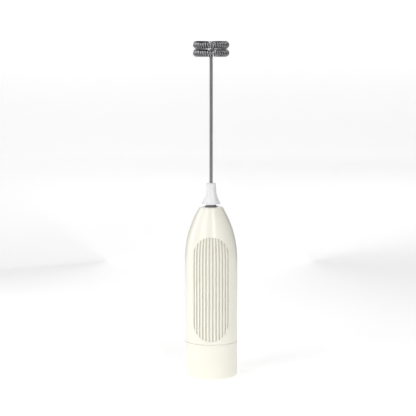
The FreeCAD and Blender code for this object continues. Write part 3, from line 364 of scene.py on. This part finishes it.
def drawn_steel(name, tint, gloss, lines):
    """Bright wire or bar with fine lines, which lie across the axes that lines stretches most."""
    paint = Paint(name, Metallic=1.0)
    streaks = paint.noise(1.0, 3.0, 0.65, paint.stretched(*lines))
    cloud = paint.noise(240.0, 2.0).step(0.3, 0.7)
    worn = streaks.step(0.35, 0.7) * 0.45
    paint.feed("Base Color", paint.mix(worn, tuple(tint), darker(tint, 0.28)))
    paint.feed("Roughness", gloss + streaks * 0.12 + cloud * 0.05)
    return paint.bump(streaks, 0.12, 0.02 * MM).material


def coil_steel(name, settings, level):
    """Polished spring wire, bright on the outside of the coil, with painted shade darkening its
    inner side between the turns.
    """
    paint = Paint(name, Metallic=1.0)
    across = paint.reach() - RING_RADIUS
    along = paint.axis("Z") - level
    depth = (across * across + along * along).math("SQRT")
    # painted shade: darker towards the core wire, inside the coil's turns
    outside = depth.step(1.95 * MM, 2.38 * MM)
    streaks = paint.noise(1900.0, 3.0, 0.6)
    paint.feed("Base Color", paint.mix(outside, tuple(settings.hollow_shade), tuple(settings.coil)))
    paint.feed("Roughness", 0.10 + streaks * 0.10)
    return paint.bump(streaks, 0.08, 0.02 * MM).material


# ---------------------------------------------------------------- materials of the inside


def turned_metal(name, tint, gloss, rings=9000.0, metal=1.0):
    """Metal off a lathe, with fine rings up its height and a few darker stains."""
    paint = Paint(name)
    rows = paint.noise(1.0, 2.0, 0.6, paint.stretched(200.0, 200.0, rings))
    stain = paint.noise(320.0, 4.0, 0.65).step(0.5, 0.72)
    paint.feed("Base Color", paint.mix(stain * 0.4, tuple(tint), darker(tint, 0.35)))
    paint.feed("Metallic", metal - stain * 0.06)
    paint.feed("Roughness", gloss + rows * 0.14 + stain * 0.1)
    return paint.bump(rows, 0.15, 0.02 * MM).material


def plated_sheet(name, tint, gloss, spangle):
    """Plated sheet with the plating's crystals and the marks of the press."""
    paint = Paint(name)
    flakes = paint.cells(spangle).step(0.2, 0.8)
    wiped = paint.noise(1.0, 3.0, 0.6, paint.stretched(90.0, 90.0, 1500.0))
    paint.feed("Base Color", paint.mix(flakes * 0.5, tuple(tint), darker(tint, 0.22)))
    paint.feed("Metallic", 1.0 - wiped.step(0.6, 0.9) * 0.08)
    paint.feed("Roughness", gloss + flakes * 0.08 + wiped * 0.08)
    return paint.bump(flakes * 0.5 + wiped, 0.08, 0.02 * MM).material


def pressed_powder(name, tint, gloss, metal=0.0):
    """A sintered part: ferrite, carbon or porous bronze, with open pores."""
    paint = Paint(name)
    pores = paint.cells(2600.0).step(0.05, 0.35)
    cloud = paint.noise(300.0, 3.0).step(0.35, 0.7)
    paint.feed("Base Color", paint.mix(pores, darker(tint, 0.6), tuple(tint)))
    paint.feed("Metallic", metal * pores)
    paint.feed("Roughness", gloss + cloud * 0.12 - pores * 0.05)
    return paint.bump(pores, 0.35, 0.04 * MM).material


def laminated_steel(name):
    """Stacked sheets with a dark line between each two."""
    paint = Paint(name, Metallic=0.9)
    sheet = (paint.axis("Z") * (1.0 / (0.5 * MM))).math("FRACT")
    line = sheet.band(0.5, 0.38, 0.08)
    paint.feed("Base Color", paint.mix(line, (0.06, 0.055, 0.05), (0.33, 0.33, 0.34)))
    paint.feed("Roughness", 0.5 - line * 0.12)
    return paint.bump(line, 0.5, 0.05 * MM).material


def wound_copper(name):
    """Enamelled wire, wound in close turns that cross each other."""
    paint = Paint(name, Coat_Roughness=0.12, Coat_IOR=1.6)
    turns = (paint.axis("Z") * (1.0 / (0.25 * MM)) + paint.noise(500.0, 2.0) * 1.5).math("FRACT")
    crown = turns.band(0.5, 0.36, 0.14)
    paint.feed("Base Color", paint.mix(crown, (0.14, 0.035, 0.015), (0.66, 0.24, 0.09)))
    paint.feed("Metallic", 0.35 + crown * 0.6)
    paint.feed("Roughness", 0.36 - crown * 0.1)
    paint.feed("Coat Weight", 0.5 - crown * 0.1)
    return paint.bump(crown, 0.8, 0.06 * MM).material


def lacquered_board(tint):
    """Glass laminate with its weave, under green lacquer with copper tracks to the leads."""
    paint = Paint("board_laminate", IOR=1.5)
    weave = paint.axis("X").math("MULTIPLY", 4200.0).math("SINE")
    weft = paint.axis("Z").math("MULTIPLY", 4200.0).math("SINE")
    cloth = weave * weft * 0.5 + 0.5
    aside = paint.axis("X").math("ABSOLUTE")
    tracks = aside.band(LEAD_ASIDE, 0.55 * MM, 0.06 * MM)
    tone = paint.mix(cloth * 0.3, tuple(tint), darker(tint, 0.5))
    paint.feed("Base Color", paint.mix(tracks * 0.75, tone, (0.06, 0.27, 0.09)))
    paint.feed("Roughness", 0.3 + cloth * 0.1)
    return paint.bump(cloth * 0.2 + tracks, 0.3, 0.05 * MM).material


def glazed(name, tint):
    """Dipped ceramic: a thick uneven glaze."""
    paint = Paint(name, Coat_Roughness=0.08)
    runs = paint.noise(420.0, 3.0, 0.5)
    paint.feed("Base Color", paint.mix(runs.step(0.4, 0.7), tuple(tint), darker(tint, 0.35)))
    paint.feed("Roughness", 0.32 + runs * 0.1)
    paint.feed("Coat Weight", 0.4 + runs * 0.2)
    return paint.bump(runs, 0.4, 0.08 * MM).material


def sleeve(name, tint):
    """Soft vinyl round a lead, dulled where it has been handled."""
    paint = Paint(name, IOR=1.53)
    dull = paint.noise(500.0, 3.0, 0.6).step(0.4, 0.75)
    paint.feed("Base Color", paint.mix(dull * 0.25, tuple(tint), (0.4, 0.4, 0.4)))
    paint.feed("Roughness", 0.34 + dull * 0.18)
    return paint.bump(paint.noise(2600.0, 2.0), 0.15, 0.04 * MM).material


def cell_film(settings, nub_level, upward):
    """Printed film, shrunk round a cell, with a light band by the nub and a thin line past it."""
    paint = Paint("cell_film_up" if upward else "cell_film_down", IOR=1.5, Coat_Roughness=0.1)
    height = paint.axis("Z")
    from_nub = nub_level - height if upward else height - nub_level
    band = 1.0 - from_nub.step(11.9 * MM, 12.1 * MM)
    lines = from_nub.band(13.4 * MM, 0.3 * MM, 0.05 * MM)
    tone = paint.mix(band, tuple(settings.wrap), tuple(settings.band))
    paint.feed("Base Color", paint.mix(lines, tone, tuple(settings.band)))
    wrinkles = paint.noise(1.0, 2.0, 0.5, paint.stretched(260.0, 260.0, 25.0))
    paint.feed("Roughness", 0.22 + wrinkles * 0.12)
    paint.feed("Coat Weight", 0.3 + wrinkles * 0.2)
    return paint.bump(wrinkles, 0.25, 0.06 * MM).material


def solder_metal():
    """Tin solder: bright, slightly frosted, with the odd fleck of flux."""
    paint = Paint("solder_tin")
    frost = paint.noise(1500.0, 4.0, 0.6)
    flux = paint.noise(700.0, 3.0).step(0.62, 0.7)
    paint.feed("Base Color", paint.mix(flux, (0.62, 0.62, 0.61), (0.35, 0.22, 0.07)))
    paint.feed("Metallic", 1.0 - flux)
    paint.feed("Roughness", 0.22 + frost * 0.2)
    return paint.bump(frost, 0.2, 0.03 * MM).material


# ---------------------------------------------------------------- mesh tools


def turn(form, profile, steps, spot=Vector(), tilt=None):
    """Turn a profile about +Z, tilted and moved to its spot, and add it to the form.

    Each point is radius, height and the number of the material from there to the next point.
    """
    rotation = tilt or Matrix.Identity(3)
    rings = []
    for radius, height, _ in profile:
        count = steps if radius > 0 else 1
        ring = []
        for step in range(count):
            angle = 2 * math.pi * step / steps
            corner = Vector((radius * math.cos(angle), radius * math.sin(angle), height))
            ring.append(form.verts.new(rotation @ corner + spot))
        rings.append(ring)
    for lower, upper, (_, _, number) in zip(rings, rings[1:], profile):
        for step in range(steps):
            corners = [ring[place % len(ring)] for ring, place in (
                (lower, step), (lower, step + 1), (upper, step + 1), (upper, step)
            )]
            face = form.faces.new(dict.fromkeys(corners))
            face.material_index = number
    return form


def mesh_of(name, form, crease=35.0):
    """The finished mesh of a form: normals outwards, smooth except across a crease."""
    bmesh.ops.recalc_face_normals(form, faces=form.faces)
    for face in form.faces:
        face.smooth = True
    mesh = bpy.data.meshes.new(name)
    form.to_mesh(mesh)
    form.free()
    mesh.set_sharp_from_angle(angle=math.radians(crease))
    return mesh


def wire_mesh(name, path, radius):
    """A round wire along a path of points."""
    curve = bpy.data.curves.new(name, "CURVE")
    curve.dimensions = "3D"
    curve.bevel_depth = radius
    curve.bevel_resolution = 4
    curve.use_fill_caps = True
    line = curve.splines.new("POLY")
    line.points.add(len(path) - 1)
    for point, spot in zip(line.points, path):
        point.co = (*spot, 1.0)
    holder = bpy.data.objects.new(name, curve)
    mesh = bpy.data.meshes.new_from_object(holder)
    mesh.name = name
    bpy.data.objects.remove(holder)
    for polygon in mesh.polygons:
        polygon.use_smooth = True
    return mesh


def add_piece(name, mesh, body, slot, *materials):
    """A new piece whose mesh is already in its place, riding on a CAD body."""
    piece = bpy.data.objects.new(name, mesh)
    for material in materials:
        mesh.materials.append(material)
    bpy.context.scene.collection.objects.link(piece)
    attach(piece, body)
    return piece


# ---------------------------------------------------------------- pieces


def coiled_spring(name, spot, axis, radius, wire, height, turns):
    """A compression spring whose first and last turns lie nearly flat."""
    tilt = axis.to_track_quat("Z", "Y").to_matrix()
    path = []
    for step in range(turns * SPRING_STEPS + 1):
        done = step / (turns * SPRING_STEPS)
        eased = done - SPRING_CLOSING * math.sin(2 * math.pi * done) / (2 * math.pi)
        angle = 2 * math.pi * turns * done
        level = wire + (height - 2 * wire) * eased
        corner = Vector((radius * math.cos(angle), radius * math.sin(angle), level))
        path.append(spot + tilt @ corner)
    return wire_mesh(name, path, wire)


def cell_mesh(name, nub_up):
    """A cell with a rolled shoulder, an insulating washer, a nub and the film's two lips."""
    low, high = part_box(name)
    radius = (high.x - low.x) / 2
    tall = high.z - low.z
    film, metal, washer = 0, 1, 2
    profile = [
        (0.0, 0.35, metal), (4.3, 0.35, metal), (4.7, 0.05, metal), (5.7, 0.0, metal),
        (6.25, 0.12, metal), (6.3, 0.22, film), (6.55, 0.12, film), (6.85, 0.18, film),
        (7.05, 0.42, film), (7.1, 0.8, film), (7.1, 48.3, film), (7.05, 48.7, film),
        (6.85, 48.98, film), (6.5, 49.05, film), (6.25, 48.95, washer), (5.9, 48.75, washer),
        (3.4, 48.75, metal), (3.0, 48.85, metal), (2.75, 49.2, metal), (2.75, 50.15, metal),
        (2.6, 50.4, metal), (2.3, 50.5, metal), (0.0, 50.5, metal),
    ]
    wide, long = radius / (CELL_RADIUS * MM), tall / (CELL_LENGTH * MM)
    scaled = [(r * MM * wide, z * MM * long, number) for r, z, number in profile]
    foot = Vector((middle_of(name).x, 0.0, low.z if nub_up else high.z))
    over = None if nub_up else Matrix.Rotation(math.pi, 3, "X")
    return mesh_of(name, turn(bmesh.new(), scaled, CELL_STEPS, foot, over))


def solder_mesh(name, joints, radius):
    """A small fillet of solder at each joint, which is a place and the way it stands out."""
    profile = [
        (0.0, 0.0, 0), (1.3, 0.0, 0), (1.22, 0.08, 0), (0.95, 0.2, 0), (0.8, 0.42, 0),
        (0.72, 0.75, 0), (0.6, 1.0, 0), (0.38, 1.14, 0), (0.0, 1.2, 0),
    ]
    scaled = [(r * radius, z * radius, number) for r, z, number in profile]
    form = bmesh.new()
    for spot, way in joints:
        turn(form, scaled, 24, spot, way.to_track_quat("Z", "Y").to_matrix())
    return mesh_of(name, form, 60.0)


# ---------------------------------------------------------------- studio


MIDDLE = (0.0, 0.0, 0.1)
SOFT_BOXES = (
    ("side_light", (-0.95, 0.28, 0.25), (0.3, 1.1), 3.2),
    ("key_light", (-0.70, -0.70, 0.85), (0.6, 0.9), 5.6),
    ("front_light", (0.28, -0.88, 0.80), (0.16, 0.9), 4.2),
    ("fill_light", (0.9, -0.6, 0.35), (0.6, 0.9), 0.3),
    ("back_light", (0.25, 1.15, 0.75), (0.8, 0.6), 2.0),
)


def studio_paper(settings):
    """Matt white paper with a faint tooth that glows as painted light, more brightly behind the
    frother than in front of it.
    """
    paint = Paint("studio_paper", Roughness=0.9, Emission_Strength=1.0)
    paint.shader.inputs["Specular IOR Level"].default_value = 0.1
    fibre = paint.noise(350.0, 4.0, 0.6)
    tint = settings.paper
    paint.feed("Base Color", paint.mix(fibre.step(0.4, 0.6), tuple(tint), darker(tint, 0.015)))
    # painted light: the glow is strongest on the wall, then behind the frother, and weakest before
    # it and to the sides
    aside = (paint.axis("X").math("ABSOLUTE") - paint.axis("Y") * 0.16).step(0.22, 0.8)
    behind = paint.axis("Y").step(-0.4, -0.12) * (1.0 - aside)
    wall = paint.axis("Z").step(0.0, 0.5) * paint.axis("Y").step(0.5, 1.5)
    before_glow, behind_glow, wall_glow = (
        [glow] * 3 for glow in (settings.glow_before, settings.glow_behind, settings.glow_wall)
    )
    far = paint.mix(wall, behind_glow, wall_glow)
    paint.feed("Emission Color", paint.mix(behind, before_glow, far))
    return paint.bump(fibre, 0.03, 0.1 * MM).material


def round_cove(radius, height, bend):
    """A round floor that curves up into a wall all the way round."""
    profile = [(0.0, 0.0, 0), (radius - bend, 0.0, 0)]
    for step in range(1, BEND_STEPS + 1):
        angle = math.pi / 2 * step / BEND_STEPS
        profile.append(
            (radius - bend + bend * math.sin(angle), bend - bend * math.cos(angle), 0)
        )
    profile.append((radius, height, 0))
    return mesh_of("paper_cove", turn(bmesh.new(), profile, 128))


def soft_light(name, spot, size, power):
    lamp = bpy.data.lights.new(name, "AREA")
    lamp.shape = "RECTANGLE"
    lamp.size, lamp.size_y = size
    lamp.energy = power
    light = bpy.data.objects.new(name, lamp)
    light.location = spot
    light.rotation_euler = (Vector(MIDDLE) - Vector(spot)).to_track_quat("-Z", "Y").to_euler()
    light.visible_camera = False
    bpy.context.scene.collection.objects.link(light)


def grey_card(side):
    """A card beside and behind the frother that gives its pale side an edge."""
    near, far = (Vector((side * x, y, CARD_FOOT)) for x, y in (CARD_NEAR, CARD_FAR))
    mesh = bpy.data.meshes.new("grey_card")
    mesh.from_pydata([near, far, far + CARD_RISE, near + CARD_RISE], [], [(0, 1, 2, 3)])
    paint = Paint("card_grey", Roughness=0.9)
    paint.feed("Base Color", paint.mix(paint.noise(40.0), (0.05, 0.05, 0.05), (0.06, 0.06, 0.06)))
    card = bpy.data.objects.new("grey_card", mesh)
    card.data.materials.append(paint.material)
    card.visible_camera = False
    bpy.context.scene.collection.objects.link(card)


# ---------------------------------------------------------------- operators


class FROTHER_OT_handle(bpy.types.Operator):
    """Finish the shell, the battery cap, the power button and the seals"""

    bl_idname = "frother.handle"
    bl_label = "Handle"

    def execute(self, context):
        settings = context.scene.frother_handle
        finish(cream_plastic(settings), "handle_shell", "battery_cap", "button_cap")
        finish(rubber("seal_rubber", settings.rubber), "cap_seal", "nose_seal")
        return {"FINISHED"}


class FROTHER_OT_whisk(bpy.types.Operator):
    """Finish the collar, the wire and the two coils"""

    bl_idname = "frother.whisk"
    bl_label = "Whisk"

    def execute(self, context):
        settings = context.scene.frother_whisk
        finish(moulded("collar_plastic", settings.collar), "whisk_collar")
        wire = drawn_steel("whisk_wire_steel", settings.steel, 0.16, (2600.0, 2600.0, 40.0))
        finish(wire, "whisk_wire")
        for name in ("lower_coil", "upper_coil"):
            finish(coil_steel(name + "_steel", settings, middle_of(name).z), name)
        return {"FINISHED"}


class FROTHER_OT_drive(bpy.types.Operator):
    """Finish the hub, the motor and its holder"""

    bl_idname = "frother.drive"
    bl_label = "Drive"

    def execute(self, context):
        hub = context.scene.frother_whisk.hub
        finish(turned_metal("hub_steel", hub, 0.26), "drive_hub")
        finish(turned_metal("shaft_steel", (0.55, 0.55, 0.56), 0.15), "motor_shaft")
        carriage = context.scene.frother_power.carriage
        finish(moulded("inner_plastic", carriage, 0.42), "motor_holder", "battery_carriage")
        finish(turned_metal("screw_zinc", (0.62, 0.60, 0.52), 0.3, 14000.0), "holder_screws")
        finish(plated_sheet("can_zinc", (0.56, 0.57, 0.58), 0.28, 420.0), "motor_can")
        magnets = pressed_powder("magnet_ferrite", (0.07, 0.068, 0.066), 0.6)
        finish(magnets, "magnet_left", "magnet_right")
        finish(moulded("bell_nylon", (0.55, 0.54, 0.50), 0.4), "end_bell")
        bronze = pressed_powder("bush_bronze", (0.62, 0.42, 0.20), 0.36, 0.9)
        finish(bronze, "rear_bush", "front_bush")
        carbon = pressed_powder("brush_carbon", (0.05, 0.05, 0.052), 0.5, 0.3)
        finish(carbon, "brush_left", "brush_right")
        finish(plated_sheet("terminal_tin", (0.66, 0.65, 0.62), 0.3, 900.0), "motor_terminals")
        finish(glazed("capacitor_glaze", (0.62, 0.25, 0.05)), "noise_capacitor")
        finish(laminated_steel("core_sheets"), "armature_core")
        finish(wound_copper("winding_copper"), "armature_windings")
        finish(turned_metal("commutator_copper", (0.78, 0.38, 0.20), 0.22), "commutator")
        return {"FINISHED"}


class FROTHER_OT_power(bpy.types.Operator):
    """Build the cells and finish the contacts round them"""

    bl_idname = "frother.power"
    bl_label = "Power"

    def execute(self, context):
        settings = context.scene.frother_power
        nickel = plated_sheet("contact_nickel", (0.66, 0.63, 0.58), 0.2, 1500.0)
        finish(nickel, "positive_contact", "negative_contact", "negative_spring",
               "cap_contact_bridge", "cap_spring")
        end_steel = turned_metal("cell_end_nickel", (0.70, 0.69, 0.67), 0.2, 2500.0)
        card = moulded("cell_washer_card", (0.75, 0.74, 0.70), 0.7)
        for name, nub_up in (("cell_nub_up", True), ("cell_nub_down", False)):
            low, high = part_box(name)
            film = cell_film(settings, high.z if nub_up else low.z, nub_up)
            mesh = cell_mesh(name, nub_up)
            piece = add_piece(
                name + "_wrapped", mesh, "handle", "cell_wrap", film, end_steel, card
            )
            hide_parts(name)
        return {"FINISHED"}


class FROTHER_OT_switch(bpy.types.Operator):
    """Build the button's spring and finish the switch, its board and the leads"""

    bl_idname = "frother.switch"
    bl_label = "Switch and leads"

    def execute(self, context):
        settings = context.scene.frother_power
        finish(lacquered_board(settings.board), "switch_board")
        finish(moulded("switch_black", (0.03, 0.03, 0.032), 0.38, 0.0), "switch_housing")
        finish(moulded("plunger_white", (0.8, 0.79, 0.76), 0.3), "switch_plunger")
        finish(plated_sheet("pin_tin", (0.68, 0.67, 0.65), 0.25, 2000.0), "switch_pins")
        finish(sleeve("sleeve_red", (0.55, 0.02, 0.015)), "lead_red")
        finish(sleeve("sleeve_black", (0.025, 0.025, 0.027)), "lead_black")
        finish(sleeve("sleeve_blue", (0.02, 0.07, 0.38)), "lead_switch")

        low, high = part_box("button_spring")
        wire = SPRING_WIRE
        foot = Vector((0.0, low.y, middle_of("button_spring").z))
        mesh = coiled_spring(
            "return_spring", foot, Vector((0.0, 1.0, 0.0)), high.x - wire, wire, high.y - low.y,
            settings.spring_turns,
        )
        steel = drawn_steel("return_spring_steel", (0.58, 0.57, 0.56), 0.18, (900.0, 900.0, 900.0))
        spring = add_piece("return_spring", mesh, "handle", "button_spring_steel", steel)
        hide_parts("button_spring")
        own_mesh(spring)
        return {"FINISHED"}


class FROTHER_OT_solder(bpy.types.Operator):
    """Build the soldered joints of the leads and of the switch's pins"""

    bl_idname = "frother.solder"
    bl_label = "Solder"

    def execute(self, context):
        radius = context.scene.frother_power.solder
        joints = []
        for name, way in (("positive_contact", 1.0), ("negative_contact", -1.0)):
            low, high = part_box(name)
            face = low.x + SHEET if way > 0 else high.x - SHEET
            joints.append((Vector((face, 0.0, high.z - 0.6 * MM)), Vector((way, 0.0, 0.0))))
        low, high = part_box("motor_terminals")
        for x in (low.x, high.x):
            way = Vector((math.copysign(1.0, x), 0.0, 0.0))
            joints.append((Vector((x, 0.0, low.z + 1.2 * MM)), way))
        low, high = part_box("switch_board")
        outward = Vector((0.0, 1.0, 0.0))
        for x in (-LEAD_ASIDE, LEAD_ASIDE):
            joints.append((Vector((x, high.y, low.z + LEAD_HEIGHT)), outward))
        low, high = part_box("switch_pins")
        for x in (low.x, high.x):
            for z in (low.z + 0.3 * MM, high.z - 0.3 * MM):
                joints.append((Vector((x, low.y, z)), outward))
        mesh = solder_mesh("solder_joints", joints, radius)
        add_piece("solder_joints", mesh, "handle", "terminal_tin", solder_metal())
        return {"FINISHED"}


class FROTHER_OT_studio(bpy.types.Operator):
    """Build the paper cove, the lights and the camera"""

    bl_idname = "frother.studio"
    bl_label = "Studio"

    def execute(self, context):
        settings = context.scene.frother_studio
        form = round_cove(COVE_RADIUS, COVE_HEIGHT, COVE_BEND)
        cove = bpy.data.objects.new("paper_cove", form)
        cove.data.materials.append(studio_paper(settings))
        context.scene.collection.objects.link(cove)
        # the paper goes with the cap, because the frother always stands on its cap
        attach(cove, "cap")
        for box in SOFT_BOXES:
            soft_light(*box)
        for side in (-1, 1):
            grey_card(side)

        world = bpy.data.worlds.new("studio_air")
        world.use_nodes = True
        air = world.node_tree.nodes["Background"]
        air.inputs["Color"].default_value = (1.0, 1.0, 1.0, 1.0)
        air.inputs["Strength"].default_value = settings.air
        context.scene.world = world
        context.scene.view_settings.view_transform = "Standard"

        camera = bpy.data.cameras.new("studio_camera")
        camera.lens = settings.lens
        camera.sensor_width = 36.0
        stand = bpy.data.objects.new("studio_camera", camera)
        stand.location = (-settings.aside, -settings.distance, settings.eye_level)
        stand.rotation_euler = (math.pi / 2 - settings.tilt, 0.0, 0.0)
        context.scene.collection.objects.link(stand)
        context.scene.camera = stand
        return {"FINISHED"}


class FROTHER_PT_panel(bpy.types.Panel):
    """The frother's pieces and its studio"""

    bl_idname = "FROTHER_PT_panel"
    bl_label = "Milk Frother"
    bl_space_type = "VIEW_3D"
    bl_region_type = "UI"
    bl_category = "Frother"

    def draw(self, context):
        for operator in OPERATORS:
            self.layout.operator(operator.bl_idname)


OPERATORS = (
    FROTHER_OT_handle, FROTHER_OT_whisk, FROTHER_OT_drive, FROTHER_OT_power, FROTHER_OT_switch,
    FROTHER_OT_solder, FROTHER_OT_studio,
)
GROUPS = {
    "frother_handle": HandleSettings,
    "frother_whisk": WhiskSettings,
    "frother_power": PowerSettings,
    "frother_studio": StudioSettings,
}


def register():
    for group in GROUPS.values():
        bpy.utils.register_class(group)
    for name, group in GROUPS.items():
        setattr(bpy.types.Scene, name, PointerProperty(type=group))
    for kind in (*OPERATORS, FROTHER_PT_panel):
        bpy.utils.register_class(kind)


def unregister():
    for kind in reversed((*OPERATORS, FROTHER_PT_panel)):
        bpy.utils.unregister_class(kind)
    for name, group in GROUPS.items():
        delattr(bpy.types.Scene, name)
        bpy.utils.unregister_class(group)


def main():
    register()
    bpy.ops.frother.handle()
    bpy.ops.frother.whisk()
    bpy.ops.frother.drive()
    bpy.ops.frother.power()
    bpy.ops.frother.switch()
    bpy.ops.frother.solder()
    bpy.ops.frother.studio()


if __name__ == "__main__":
    main()
